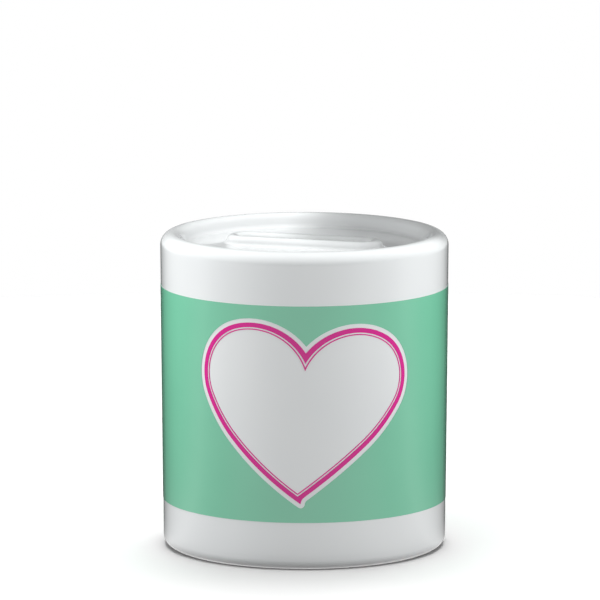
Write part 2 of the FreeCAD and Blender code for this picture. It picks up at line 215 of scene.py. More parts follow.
# how bright the mirrored table is, by degrees round the jar either way from its front
GLOW_LEVELS = [(30, 0.91), (45, 0.85), (62, 0.65), (75, 0.63), (85, 0.67), (93, 0.52), (100, 0.37),
               (108, 0.24), (125, 0.1), (150, 0.03)]
GLOW_FRONT_LEVEL = 1.0
GLOW_BACK_LEVEL = 0.03
GLOW_STRENGTH = 1.26
GLOW_RADIUS = 1.4
GLOW_HEIGHT = -0.0005
GLOW_STEPS = 96

# Places are metres to the camera's right, away behind the jar, and up. The flag hangs over the
# recess and is round but for a pinhole. The underlay and the contact card lie under the floor.
CARD_PINHOLE = 0.0001
FLAG_RADIUS = 0.029
FLAG_PLACE = (0.024, 0.016, 0.12)
UNDERLAY_RADIUS = 3.2
UNDERLAY_PLACE = (0.0, 0.0, -0.0006)
CONTACT_RADIUS = 0.0447
CONTACT_PLACE = (0.0, 0.0, -0.0004)

LIGHT_COLOUR = (0.97, 0.995, 1.0)
# azimuth in degrees round the jar from the camera to its right, distance, height and radiance
SIDE_LAMPS = {
    "lamp_left": (-82, 0.20, 0.102, 7.0),
    "lamp_left_front": (-64, 0.14, 0.102, 1.9),
    "lamp_left_back": (-118, 0.14, 0.102, 5.0),
    "lamp_right": (82, 0.14, 0.102, 1.8),
    "lamp_right_front": (64, 0.20, 0.102, 7.4),
    "lamp_right_back": (118, 0.14, 0.102, 2.8),
    "lamp_back": (180, 0.3, 0.07, 9.0),
}
SIDE_LAMP_SIZE = (0.07, 0.07)
# a side lamp aims at the axis this far below its own height
SIDE_LAMP_DROP = 0.02
# place and radiance
HIGH_LAMPS = {
    "lamp_top": ((0.0, 0.0, 0.95), 27.0),
    "lamp_top_left": ((-0.3, -0.1, 0.85), 8.0),
}
HIGH_LAMP_SIZE = (0.25, 0.25)
HIGH_LAMP_AIM = 0.045
FLOOR_LAMP_PLACE = (0.03, 0.2, 1.5)
FLOOR_LAMP_SIZE = (0.9, 1.5)
FLOOR_LAMP_RADIANCE = 6.35

# the surrounding light below and above the horizon, and how far from it the two blend
WORLD_BELOW = 0.60
WORLD_ABOVE = 0.34
WORLD_BLEND = 0.15


# ---- mesh helpers --------------------------------------------------------------------------------

SHARP_ANGLE = 35.0


def unit(angle):
    return np.array([math.cos(angle), math.sin(angle)])


def rounded_path(corners, spacing, arc_steps=10):
    """Points along straight runs and the fillets between them; corners are (across, up, radius)."""
    points = []
    count = len(corners)
    for index in range(count):
        before = np.array(corners[index - 1][:2])
        corner = np.array(corners[index][:2])
        after = np.array(corners[(index + 1) % count][:2])
        radius = corners[index][2]
        inward = (before - corner) / np.linalg.norm(before - corner)
        onward = (after - corner) / np.linalg.norm(after - corner)
        if radius == 0:
            points.append(corner)
            continue
        half_angle = math.acos(float(np.clip(inward @ onward, -1, 1))) / 2
        middle = (inward + onward) / np.linalg.norm(inward + onward)
        centre = corner + middle * radius / math.sin(half_angle)
        start = corner + inward * radius / math.tan(half_angle) - centre
        end = corner + onward * radius / math.tan(half_angle) - centre
        sweep = math.acos(float(np.clip(start @ end / radius ** 2, -1, 1)))
        for step in range(arc_steps + 1):
            share = step / arc_steps
            weight = (math.sin((1 - share) * sweep), math.sin(share * sweep))
            points.append(centre + (start * weight[0] + end * weight[1]) / math.sin(sweep))
    return spaced(points, spacing)


def spaced(points, spacing):
    """The same path with its long runs divided evenly."""
    result = []
    for point, following in zip(points, points[1:]):
        pieces = max(1, math.ceil(float(np.linalg.norm(following - point)) / spacing))
        result += [point + (following - point) * piece / pieces for piece in range(pieces)]
    result.append(points[-1])
    return result


def ring_points(radius, height, around):
    """Points evenly round the jar's axis."""
    return [(*(unit(2 * math.pi * step / around) * radius), height) for step in range(around)]


def ring_faces(ring_count, point_count, first=0, closed=False):
    """Faces between neighbouring rings of vertices that start at the first one.

    A closed set of rings also has faces from its last ring back to its first.
    """
    faces = []
    for row in range(ring_count if closed else ring_count - 1):
        near = first + row * point_count
        far = first + (row + 1) % ring_count * point_count
        for step in range(point_count):
            beside = (step + 1) % point_count
            faces.append((near + step, near + beside, far + beside, far + step))
    return faces


def shade_smooth(mesh, sharp_angle):
    """Smooth shading, with hard edges past the sharp angle in degrees."""
    mesh.polygons.foreach_set("use_smooth", [True] * len(mesh.polygons))
    mesh.set_sharp_from_angle(angle=math.radians(sharp_angle))


def new_object(name, vertices, faces, sharp_angle=SHARP_ANGLE):
    """A smooth-shaded object from vertices in millimetres."""
    mesh = bpy.data.meshes.new(name)
    mesh.from_pydata([tuple(float(c) * MM for c in vertex) for vertex in vertices], [], faces)
    mesh.validate()
    shade_smooth(mesh, sharp_angle)
    item = bpy.data.objects.new(name, mesh)
    bpy.context.scene.collection.objects.link(item)
    return item


def recalculate_normals(item):
    shape = bmesh.new()
    shape.from_mesh(item.data)
    bmesh.ops.recalc_face_normals(shape, faces=shape.faces)
    shape.to_mesh(item.data)
    shape.free()


def apply_modifiers(item):
    graph = bpy.context.evaluated_depsgraph_get()
    mesh = bpy.data.meshes.new_from_object(item.evaluated_get(graph))
    item.modifiers.clear()
    item.data = mesh


# ---- the jar body --------------------------------------------------------------------------------

def loop_point(share, size, roundness):
    """A point of a loop round the jar: a stadium about the slot at roundness 0, a circle at 1."""
    end_share = END_STEPS / (END_STEPS + SIDE_STEPS)
    quarter = share * 4
    side = int(quarter) % 4
    local = quarter % 1
    # the quarters start at +X, +Y, -X and -Y; each is half an end and half a straight side
    mirror_x = side in (1, 2)
    mirror_y = side in (2, 3)
    if side in (1, 3):
        local = 1 - local
    angle = local * math.pi / 2
    if local < end_share:
        turn = local / end_share * math.pi / 2
        stadium = np.array([SLOT_REACH, 0.0]) + size * unit(turn)
    else:
        along = (local - end_share) / (1 - end_share)
        stadium = np.array([SLOT_REACH * (1 - along), size])
    x, y = stadium * (1 - roundness) + size * unit(angle) * roundness
    return (-x if mirror_x else x, -y if mirror_y else y)


def lip_corners():
    """Where the lip's flank would meet its top and the plate; it leans so that its rounds touch."""
    reach = LIP_CREST_ROUND + LIP_FOOT_ROUND
    drop = reach - LIP_RISE
    across = math.sqrt(reach ** 2 - drop ** 2)
    touch_height = LIP_FOOT_ROUND * (1 - drop / reach)
    touch = LIP_HALF_WIDTH + LIP_FOOT_ROUND * (1 - across / reach)
    slope = drop / across
    return touch - (LIP_RISE - touch_height) * slope, touch + touch_height * slope


def blend_loops(first_size, last_size, height, first_roundness, last_roundness):
    """The loops between two others of the plate, as they turn from one form to the other."""
    loops = []
    for step in range(1, BLEND_STEPS):
        share = step / BLEND_STEPS
        loops.append((first_size + (last_size - first_size) * share, height,
                      first_roundness + (last_roundness - first_roundness) * share))
    return loops


def jar_loops():
    """Every loop of the jar's skin, as (size, height, roundness), once round its section."""
    crest_corner, foot_corner = lip_corners()
    near_slot = SLOT_HALF_WIDTH + SLOT_UNDER_MARGIN
    near_lip = LIP_HALF_WIDTH + LIP_MARGIN
    near_wall = RECESS_FLOOR_RADIUS - RECESS_WALL_MARGIN
    near_shoulder = CAVITY_SHOULDER_RADIUS - CAVITY_WALL_MARGIN
    slot_side = [
        (near_slot, PLATE_BOTTOM, 0),
        (SLOT_HALF_WIDTH, PLATE_BOTTOM, SLOT_UNDER_ROUND),
        (SLOT_HALF_WIDTH, LIP_TOP, SLOT_MOUTH_ROUND),
        (crest_corner, LIP_TOP, LIP_CREST_ROUND),
        (foot_corner, PLATE_TOP, LIP_FOOT_ROUND),
        (near_lip, PLATE_TOP, 0),
    ]
    wall_side = [
        (near_wall, PLATE_TOP, 0),
        (RECESS_FLOOR_RADIUS, PLATE_TOP, RECESS_FLOOR_ROUND),
        (RECESS_MOUTH_RADIUS, BODY_HEIGHT, RECESS_LIP_ROUND),
        (SHOULDER_RADIUS, BODY_HEIGHT, RIM_ROUND),
        (FOOT_RADIUS, 0.0, FOOT_ROUND),
        (FOOT_RING_INNER_RADIUS, 0.0, FOOT_INNER_ROUND),
        (FOOT_RING_INNER_RADIUS, BASE_UNDERSIDE, FOOT_INNER_ROUND),
        (BASE_HOLE_RADIUS, BASE_UNDERSIDE, BASE_HOLE_ROUND),
        (BASE_HOLE_RADIUS, BASE_TOP, BASE_HOLE_ROUND),
        (CAVITY_FOOT_RADIUS, BASE_TOP, CAVITY_ROUND),
        (CAVITY_SHOULDER_RADIUS, PLATE_BOTTOM, CAVITY_ROUND),
        (near_shoulder, PLATE_BOTTOM, 0),
    ]
    loops = [(size, height, 0) for size, height in rounded_path(slot_side, SLOT_SPACING)]
    loops += blend_loops(near_lip, near_wall, PLATE_TOP, 0, 1)
    loops += [(size, height, 1) for size, height in rounded_path(wall_side, WALL_SPACING)]
    loops += blend_loops(near_shoulder, near_slot, PLATE_BOTTOM, 1, 0)
    return loops


def make_jar():
    """The pot as one closed skin; the faces it stands on take its second material."""
    loops = jar_loops()
    vertices = []
    for size, height, roundness in loops:
        for step in range(AROUND_STEPS):
            vertices.append((*loop_point(step / AROUND_STEPS, size, roundness), height))
    faces = ring_faces(len(loops), AROUND_STEPS, closed=True)
    jar = new_object("jar_ceramic", vertices, faces, JAR_SHARP_ANGLE)
    recalculate_normals(jar)
    for face in jar.data.polygons:
        if all(jar.data.vertices[index].co.z < UNGLAZED_HEIGHT * MM for index in face.vertices):
            face.material_index = 1
    return jar


# ---- the print -----------------------------------------------------------------------------------

def wall_radius(height):
    """Outer radius of the flared wall at a height."""
    return FOOT_RADIUS + (SHOULDER_RADIUS - FOOT_RADIUS) * height / BODY_HEIGHT


PRINT_RADIUS = wall_radius(HEART_HEIGHT)


def on_wall(across, up, depth):
    """A point of the flat print laid on the wall, or raised from it by depth."""
    angle = PRINT_AZIMUTH - math.pi / 2 + across / PRINT_RADIUS
    x, y = unit(angle) * (wall_radius(up) + depth)
    return (x, y, up)


def flipped(point):
    """A point of the flat heart seen in its upright centre line."""
    return np.array([-point[0], point[1]])


def bearing(offset):
    return math.atan2(offset[1], offset[0])


def heart_half(sizes, grow):
    """Centres and radii of one half's arcs from the tip up, and the angles where they join.

    Lines inside the outer edge dip more sharply into the notch than the edge itself does.
    """
    *lobe, lobe_radius = sizes["lobe"]
    notch_radius, notch_join = sizes["notch"]
    side_radius, side_join = sizes["side"]
    flank_radius, flank_join = sizes["flank"]
    notch_radius += HEART_NOTCH_TIGHTENING * min(grow, 0.0)
    joins = [math.radians(join) for join in (flank_join, side_join, notch_join)]
    lobe = np.array(lobe)
    side = lobe + unit(joins[1]) * (lobe_radius - side_radius)
    flank = side + unit(joins[0]) * (side_radius - flank_radius)
    notch = lobe + unit(joins[2]) * (lobe_radius - notch_radius)
    circles = [(flank, flank_radius), (side, side_radius), (lobe, lobe_radius), (notch, notch_radius)]
    return circles, joins


def crossing(right_circle, left_circle, grow):
    """Where the two halves meet at the tip or in the notch, with both moved outwards by grow."""
    (right_centre, right_radius), (left_centre, left_radius) = right_circle, left_circle
    across = flipped(left_centre) - right_centre
    gap = float(np.linalg.norm(across))
    along = ((right_radius + grow) ** 2 - (left_radius + grow) ** 2 + gap ** 2) / (2 * gap)
    rise = math.sqrt((right_radius + grow) ** 2 - along ** 2)
    return right_centre + (across * along + np.array([across[1], -across[0]]) * rise) / gap


def heart_arcs(grow):
    """Arcs (centre, radius, start, end) once round a heart line laid flat, from its tip.

    Grow moves the line outwards from the thick line's outer edge, or inwards where it is negative.
    The outer edge and what lies outside it flare at the tip: the left flank runs on past the right
    one and a hollow curve brings the right flank down to it.
    """
    right, right_joins = heart_half(RIGHT_HALF, grow)
    left, left_joins = heart_half(LEFT_HALF, grow)
    right_flank, right_flank_radius = right[0]
    left_flank, left_flank_radius = left[0]
    notch = crossing(right[-1], left[-1], grow)
    meeting = crossing(right[0], left[0], min(grow, 0.0))
    right_end = bearing(meeting - right_flank)
    left_end = bearing(flipped(meeting) - left_flank)
    if grow >= 0:
        right_end += HEART_FLARE_LENGTH / right_flank_radius
        left_end -= HEART_TIP_OVERRUN / left_flank_radius

    arcs = []
    turns = [right_end, *right_joins, bearing(notch - right[-1][0])]
    for (centre, radius), start, end in zip(right, turns, turns[1:]):
        arcs.append((centre, radius + grow, start, end))
    turns = [left_end, *left_joins, bearing(flipped(notch) - left[-1][0])]
    for (centre, radius), start, end in reversed(list(zip(left, turns, turns[1:]))):
        arcs.append((flipped(centre), radius + grow, math.pi - end, math.pi - start))
    if grow < 0:
        return arcs

    tip_bearing = math.pi - left_end
    tip = flipped(left_flank) + unit(tip_bearing) * left_flank_radius
    outward = unit(right_end)
    reach = tip - (right_flank + outward * right_flank_radius)
    flare_radius = reach @ reach / (2 * outward @ reach)
    flare = right_flank + outward * (right_flank_radius + flare_radius)
    flare_start = bearing(tip - flare)
    if flare_start < right_end:
        flare_start += 2 * math.pi
    arcs.insert(0, (flare, flare_radius - grow, flare_start, right_end + math.pi))
    if grow > 0:
        arcs.append((tip, grow, tip_bearing - 2 * math.pi, flare_start - math.pi))
    return arcs


def heart_line(grow):
    """Points once round a heart line, in the flat print.

    The thick line's edges and the keyline's have the same number of points, so strokes join them.
    """
    steps = [FLANK_STEPS, SIDE_ARC_STEPS, LOBE_STEPS, NOTCH_STEPS]
    steps += steps[::-1]
    if grow < 0:
        steps[0] += FLARE_STEPS
    else:
        steps.insert(0, FLARE_STEPS)
    if grow > 0:
        steps.append(TIP_STEPS)
    points = []
    for (centre, radius, start, end), count in zip(heart_arcs(grow), steps):
        for step in range(count):
            points.append(centre + radius * unit(start + (end - start) * step / count))
    return points


def lines_between(first, last, shares):
    """Points of closed lines that lie the given shares of the way from one line to another."""
    return [a + (b - a) * share for share in shares for a, b in zip(first, last)]


def ink_shell(name, flat_points, faces):
    """Ink on the wall over the faces of a flat outline, which gives the ink's outer surface."""
    item = new_object(name, [on_wall(x, y, INK_THICKNESS) for x, y in flat_points], faces)
    recalculate_normals(item)
    facing_out = 0.0
    for face in item.data.polygons:
        facing_out += face.normal.dot(Vector((face.center.x, face.center.y, 0)))
    if facing_out < 0:
        item.data.flip_normals()
    thickness = item.modifiers.new("ink", "SOLIDIFY")
    thickness.thickness = INK_THICKNESS * MM
    thickness.offset = -1.0
    apply_modifiers(item)
    shade_smooth(item.data, SHARP_ANGLE)
    return item


def make_heart_stroke(name, outer_grow, inner_grow, across_steps):
    """The inked stroke between two heart lines."""
    outer = heart_line(outer_grow)
    shares = [row / across_steps for row in range(across_steps + 1)]
    points = lines_between(outer, heart_line(inner_grow), shares)
    return ink_shell(name, points, ring_faces(across_steps + 1, len(outer)))


def panel_edge(window):
    """For each point of the heart window, the panel's edge straight out from the heart's middle.

    The points nearest to the panel's corners are moved onto them.
    """
    middle = np.array([0.0, HEART_HEIGHT])
    low = BAND_BOTTOM - HEART_HEIGHT
    high = BAND_TOP - HEART_HEIGHT
    edge = []
    for across, up in [point - middle for point in window]:
        reach_across = PANEL_HALF_WIDTH / abs(across) if abs(across) > TINY else math.inf
        reach_up = (high if up > 0 else low) / up if abs(up) > TINY else math.inf
        edge.append(np.array([across, up]) * min(reach_across, reach_up))
    for side, up in ((-1, low), (1, low), (1, high), (-1, high)):
        corner = np.array([side * PANEL_HALF_WIDTH, up])
        nearest = min(range(len(edge)), key=lambda index: float(np.linalg.norm(edge[index] - corner)))
        edge[nearest] = corner
    return [middle + offset for offset in edge]


def make_band():
    """The coloured band: rings of faces from the heart window out to a panel, then plain columns."""
    window = heart_line(HEART_BORDER)
    count = len(window)
    edge = panel_edge(window)
    shares = [(ring / PANEL_RINGS) ** PANEL_RING_SPREAD for ring in range(PANEL_RINGS + 1)]
    points = lines_between(window, edge, shares)
    faces = ring_faces(PANEL_RINGS + 1, count)
    end = (math.pi - BAND_SEAM_ANGLE / 2) * PRINT_RADIUS
    for side in (-1, 1):
        previous = [PANEL_RINGS * count + index for index, point in enumerate(edge)
                    if abs(point[0] - side * PANEL_HALF_WIDTH) < TINY]
        previous.sort(key=lambda index: points[index][1])
        heights = [points[index][1] for index in previous]
        for column in range(1, BAND_COLUMNS + 1):
            across = side * (PANEL_HALF_WIDTH + (end - PANEL_HALF_WIDTH) * column / BAND_COLUMNS)
            current = [len(points) + row for row in range(len(heights))]
            points += [np.array([across, height]) for height in heights]
            for row in range(len(heights) - 1):
                faces.append((previous[row], current[row], current[row + 1], previous[row + 1]))
            previous = current
    return ink_shell("print_band_ink", points, faces)


# ---- the stopper ---------------------------------------------------------------------------------

def stopper_section():
    """Corners of the turned part's section, from the hollow's top down and round to the nose."""
    groove_top = FLANGE_BOTTOM + GROOVE_DEPTH
    rib_low, rib_middle, rib_high = RIB_HEIGHTS
    return [
        (0.0, HOLLOW_TOP, 0),
        (HOLLOW_RADIUS, HOLLOW_TOP, HOLLOW_TOP_ROUND),
        (HOLLOW_MOUTH_RADIUS, FLANGE_BOTTOM, HOLLOW_MOUTH_ROUND),
        (GROOVE_INNER_RADIUS, FLANGE_BOTTOM, GROOVE_EDGE_ROUND),
        (GROOVE_INNER_RADIUS + GROOVE_SLOPE, groove_top, GROOVE_FLOOR_ROUND),
        (GROOVE_OUTER_RADIUS - GROOVE_SLOPE, groove_top, GROOVE_FLOOR_ROUND),
        (GROOVE_OUTER_RADIUS, FLANGE_BOTTOM, GROOVE_EDGE_ROUND),
        (FLANGE_RADIUS, FLANGE_BOTTOM, FLANGE_ROUND),
        (FLANGE_RADIUS, FLANGE_TOP, FLANGE_ROUND),
        (PLUG_RADIUS, FLANGE_TOP, FLANGE_NECK_ROUND),
        (PLUG_RADIUS, rib_low, RIB_ROUND),
        (PLUG_RADIUS + RIB_RISE, rib_middle, RIB_ROUND),
        (PLUG_RADIUS, rib_high, RIB_ROUND),
        (PLUG_RADIUS, BEAD_START, BEAD_START_ROUND),
        (BEAD_RADIUS, BEAD_LOW, BEAD_LOW_ROUND),
        (BEAD_RADIUS, BEAD_HIGH, BEAD_HIGH_ROUND),
        (PLUG_NOSE_RADIUS, PLUG_TOP, PLUG_NOSE_ROUND),
        (0.0, PLUG_TOP, 0),
    ]


def turned(name, path, around):
    """A solid turned about the jar's axis from a path that starts and ends on the axis."""
    start, *rings, end = path
    vertices = [(0.0, 0.0, start[1]), (0.0, 0.0, end[1])]
    first_ring = len(vertices)
    for radius, height in rings:
        vertices += ring_points(radius, height, around)
    last_ring = len(vertices) - around
    faces = ring_faces(len(rings), around, first_ring)
    for step in range(around):
        beside = (step + 1) % around
        faces.append((0, first_ring + beside, first_ring + step))
        faces.append((1, last_ring + step, last_ring + beside))
    item = new_object(name, vertices, faces)
    recalculate_normals(item)
    return item


def make_grip_bar():
    """A bar with rounded lower edges across the hollow, sunk a little into the hollow's top."""
    top = HOLLOW_TOP + GRIP_BAR_SINK
    section = rounded_path([
        (-GRIP_BAR_HALF_WIDTH, top, 0),
        (-GRIP_BAR_HALF_WIDTH, GRIP_BAR_BOTTOM, GRIP_BAR_ROUND),
        (GRIP_BAR_HALF_WIDTH, GRIP_BAR_BOTTOM, GRIP_BAR_ROUND),
        (GRIP_BAR_HALF_WIDTH, top, 0),
    ], GRIP_BAR_SPACING)
    count = len(section)
    vertices = []
    for step in range(GRIP_BAR_STEPS + 1):
        along = GRIP_BAR_HALF_LENGTH * (2 * step / GRIP_BAR_STEPS - 1)
        vertices += [(along, across, up) for across, up in section]
    faces = ring_faces(GRIP_BAR_STEPS + 1, count)
    faces.append(tuple(range(count)))
    faces.append(tuple(reversed(range(len(vertices) - count, len(vertices)))))
    bar = new_object("grip_bar", vertices, faces)
    recalculate_normals(bar)
    return bar


def make_stopper():
    """Moulded plug: a grooved flange, a ribbed and beaded wall, and a hollow with a grip bar."""
    path = rounded_path(stopper_section(), STOPPER_SPACING, STOPPER_ARC_STEPS)
    stopper = turned("stopper_moulding", path, STOPPER_STEPS)
    bar = make_grip_bar()
    union = stopper.modifiers.new("bar", "BOOLEAN")
    union.operation = "UNION"
    union.solver = "EXACT"
    union.object = bar
    apply_modifiers(stopper)
    bpy.data.objects.remove(bar)
    shade_smooth(stopper.data, STOPPER_SHARP_ANGLE)
    return stopper


# ---- materials -----------------------------------------------------------------------------------

# the colour sockets of a mix node, which share their names with its other sockets
MIX_SHARE, MIX_FIRST, MIX_SECOND, MIX_RESULT = 0, 6, 7, 2


def connect(links, value, socket):
    """Feed a socket from another node's output, or set it to a constant."""
    if isinstance(value, bpy.types.NodeSocket):
        links.new(value, socket)
    else:
        socket.default_value = value


class Shader:
    """A node material with one Principled BSDF and helpers for the procedural detail on it."""

    def __init__(self, name, **settings):
        self.material = bpy.data.materials.new(name)
        self.material.use_nodes = True
        self.nodes = self.material.node_tree.nodes
        self.links = self.material.node_tree.links
        self.surface = next(node for node in self.nodes if node.type == "BSDF_PRINCIPLED")
        self.place = self.nodes.new("ShaderNodeTexCoord").outputs["Object"]
        for socket, value in settings.items():
            self.surface.inputs[socket.replace("_", " ")].default_value = value

    def noise(self, size, detail=2.0, roughness=0.5):
        """Noise whose features are about size metres across."""
        node = self.nodes.new("ShaderNodeTexNoise")
        node.inputs["Scale"].default_value = 1.0 / size
        node.inputs["Detail"].default_value = detail
        node.inputs["Roughness"].default_value = roughness
        self.links.new(self.place, node.inputs["Vector"])
        return node.outputs["Fac"]

    def cells(self, size):
        """Distance from the nearest of scattered points about size metres apart."""
        node = self.nodes.new("ShaderNodeTexVoronoi")
        node.inputs["Scale"].default_value = 1.0 / size
        self.links.new(self.place, node.inputs["Vector"])
        return node.outputs["Distance"]

    def ramp(self, value, low, high, to_low=0.0, to_high=1.0):
        """A value's run from low to high made into one from to_low to to_high."""
        node = self.nodes.new("ShaderNodeMapRange")
        node.inputs["From Min"].default_value = low
        node.inputs["From Max"].default_value = high
        node.inputs["To Min"].default_value = to_low
        node.inputs["To Max"].default_value = to_high
        self.links.new(value, node.inputs["Value"])
        return node.outputs["Result"]

    def mix(self, share, first, second):
        """A colour between two; each is a colour or another node's output."""
        node = self.nodes.new("ShaderNodeMix")
        node.data_type = "RGBA"
        self.links.new(share, node.inputs[MIX_SHARE])
        for socket, value in ((MIX_FIRST, first), (MIX_SECOND, second)):
            connect(self.links, (*value, 1.0) if isinstance(value, tuple) else value,
                    node.inputs[socket])
        return node.outputs[MIX_RESULT]

    def sum(self, first, second, weight):
        """The first value plus the weighted second."""
        node = self.nodes.new("ShaderNodeMath")
        node.operation = "MULTIPLY_ADD"
        for socket, value in zip(node.inputs, (second, weight, first)):
            connect(self.links, value, socket)
        return node.outputs["Value"]

    def colour(self, value):
        self.links.new(value, self.surface.inputs["Base Color"])

    def roughness(self, value):
        self.links.new(value, self.surface.inputs["Roughness"])

    def bump(self, value, depth):
        """Relief of the given depth in metres."""
        node = self.nodes.new("ShaderNodeBump")
        node.inputs["Strength"].default_value = 1.0
        node.inputs["Distance"].default_value = depth
        self.links.new(value, node.inputs["Height"])
        self.links.new(node.outputs["Normal"], self.surface.inputs["Normal"])


def glaze_relief(shader):
    """The slow swell and faint orange peel of a fired glaze, the same under ink and bare."""
    swell = shader.noise(size=0.016, detail=1.0)
    orange_peel = shader.noise(size=0.0016, detail=1.0)
    shader.bump(shader.sum(swell, orange_peel, weight=0.06), depth=0.00004)


def make_glaze():
    """White glaze, faintly cloudy, with sparse specks of bare clay."""
    shader = Shader("white_glaze", Roughness=0.14, IOR=1.5, Coat_Weight=1.0, Coat_Roughness=0.04)
    clouds = shader.ramp(shader.noise(size=0.03), low=0.35, high=0.65)
    white = shader.mix(clouds, (0.86, 0.865, 0.868), (0.88, 0.882, 0.882))
    past_speck = shader.ramp(shader.cells(size=0.007), low=0.012, high=0.02)
    shader.colour(shader.mix(past_speck, (0.74, 0.73, 0.71), white))
    glaze_relief(shader)
    return shader.material


def make_bisque():
    """The foot's unglazed clay."""
    shader = Shader("unglazed_foot", Roughness=0.85)
    grain = shader.noise(size=0.0006, detail=4.0, roughness=0.7)
    tone = shader.ramp(grain, low=0.3, high=0.7)
    shader.colour(shader.mix(tone, (0.70, 0.68, 0.64), (0.80, 0.78, 0.75)))
    shader.bump(grain, depth=0.00006)
    return shader.material


def make_ink(name, colour, deep, gloss):
    """Ink fired into the coating, with patches and grain between its full and its deep colour."""
    shader = Shader(name, Roughness=0.16, IOR=1.5, Coat_Weight=gloss, Coat_Roughness=0.05)
    patches = shader.noise(size=0.022)
    grain = shader.noise(size=0.0005, detail=1.0)
    tone = shader.ramp(shader.sum(patches, grain, weight=0.12), low=0.3, high=0.8)
    shader.colour(shader.mix(tone, deep, colour))
    glaze_relief(shader)
    return shader.material


def make_rubber():
    """The stopper's soft moulding, with a dull bloom in patches."""
    shader = Shader("stopper_rubber", IOR=1.5, Subsurface_Weight=0.25, Subsurface_Scale=0.003)
    bloom = shader.noise(size=0.008, detail=3.0)
    tone = shader.ramp(bloom, low=0.3, high=0.7)
    shader.colour(shader.mix(tone, (0.74, 0.74, 0.70), (0.82, 0.82, 0.79)))
    shader.roughness(shader.ramp(bloom, low=0.3, high=0.7, to_low=0.34, to_high=0.5))
    shader.bump(shader.noise(size=0.0009, detail=3.0, roughness=0.6), depth=0.00002)
    return shader.material


def glowing_material(name, strength):
    """A material that only glows, and the colour socket of its glow."""
    material = bpy.data.materials.new(name)
    material.use_nodes = True
    nodes = material.node_tree.nodes
    nodes.clear()
    glow = nodes.new("ShaderNodeEmission")
    glow.inputs["Strength"].default_value = strength
    output = nodes.new("ShaderNodeOutputMaterial")
    material.node_tree.links.new(glow.outputs["Emission"], output.inputs["Surface"])
    return material, glow.inputs["Color"]


def make_mirrored_table():
    """The mirrored table's glow, by the angle round the jar from its front."""
    material, glow_colour = glowing_material("table_glow", GLOW_STRENGTH)
    nodes, links = material.node_tree.nodes, material.node_tree.links

    def calculated(operation, *values):
        node = nodes.new("ShaderNodeMath")
        node.operation = operation
        for socket, value in zip(node.inputs, values):
            connect(links, value, socket)
        return node.outputs["Value"]

    place = nodes.new("ShaderNodeTexCoord")
    split = nodes.new("ShaderNodeSeparateXYZ")
    links.new(place.outputs["Object"], split.inputs["Vector"])
    towards_front = calculated("MULTIPLY", split.outputs["Y"], -1.0)
    turn = calculated("ARCTAN2", split.outputs["X"], towards_front)
    share = calculated("DIVIDE", calculated("ABSOLUTE", turn), math.pi)
    ramp = nodes.new("ShaderNodeValToRGB")
    stops = ramp.color_ramp.elements
    stops[0].color = (GLOW_FRONT_LEVEL, GLOW_FRONT_LEVEL, GLOW_FRONT_LEVEL, 1.0)
    stops[1].color = (GLOW_BACK_LEVEL, GLOW_BACK_LEVEL, GLOW_BACK_LEVEL, 1.0)
    for degrees, level in GLOW_LEVELS:
        stops.new(degrees / 180.0).color = (level, level, level, 1.0)
    links.new(share, ramp.inputs["Fac"])
    links.new(ramp.outputs["Color"], glow_colour)
    return material


# ---- the pieces ----------------------------------------------------------------------------------

pieces = []


def finish_piece(item, body, node, slot_name, *materials):
    """Give a piece its materials, tie it to its body and hide its CAD node; the slot name is not used.
    """
    for material in materials:
        item.data.materials.append(material)
    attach(item, body)
    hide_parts(node)
    pieces.append(item)


green_ink = make_ink("green_ink", (0.190, 0.606, 0.390), (0.174, 0.580, 0.372), gloss=1.0)
pink_ink = make_ink("pink_ink", (0.79, 0.001, 0.295), (0.75, 0.001, 0.28), gloss=0.0)
keyline_outer = -HEART_LINE_WIDTH - HEART_LINE_GAP
keyline_inner = keyline_outer - HEART_KEYLINE_WIDTH

finish_piece(make_jar(), "jar", "jar_body", "white_glaze", make_glaze(), make_bisque())
finish_piece(make_band(), "jar", "print_band", "green_print", green_ink)
finish_piece(make_heart_stroke("heart_outline_ink", 0.0, -HEART_LINE_WIDTH, HEART_LINE_STEPS),
             "jar", "print_heart_outline", "pink_print", pink_ink)
finish_piece(make_heart_stroke("heart_keyline_ink", keyline_outer, keyline_inner, HEART_KEYLINE_STEPS),
             "jar", "print_heart_keyline", "pink_print", pink_ink)
finish_piece(make_stopper(), "stopper", "base_stopper", "stopper_rubber", make_rubber())


# ---- the studio ----------------------------------------------------------------------------------

def from_camera_side(right, away, up):
    """A point given as seen by the camera: metres to its right, away behind the jar, and up."""
    cosine, sine = math.cos(PRINT_AZIMUTH), math.sin(PRINT_AZIMUTH)
    return Vector((right * cosine - away * sine, right * sine + away * cosine, up))


def rotation_towards(aim, place):
    """The rotation that points a camera or a lamp at its place towards an aim."""
    return (aim - place).to_track_quat("-Z", "Y").to_euler()


def flat_rings(name, radii, material, height=0.0, around=RING_STEPS):
    """A level disc or ring of one material that faces up."""
    vertices = []
    for radius in radii:
        vertices += ring_points(radius / MM, height / MM, around)
    faces = [face[::-1] for face in ring_faces(len(radii), around)]
    item = new_object(name, vertices, faces)
    item.data.materials.append(material)
    return item


def hide_from(item, *rays):
    """Make an item invisible to the named kinds of ray."""
    for ray in rays:
        setattr(item, "visible_" + ray, False)


def make_floor():
    """A plain pale floor, open under the foot ring so that the stopper can come out."""
    shader = Shader("pale_floor", Roughness=0.7, Specular_IOR_Level=0.0)
    tone = shader.noise(size=0.05, detail=3.0)
    shader.colour(shader.mix(tone, (0.935, 0.91, 0.905), (0.955, 0.93, 0.925)))
    floor = flat_rings("studio_floor", FLOOR_RINGS, shader.material)
    hide_from(floor, "diffuse", "glossy")
    return floor


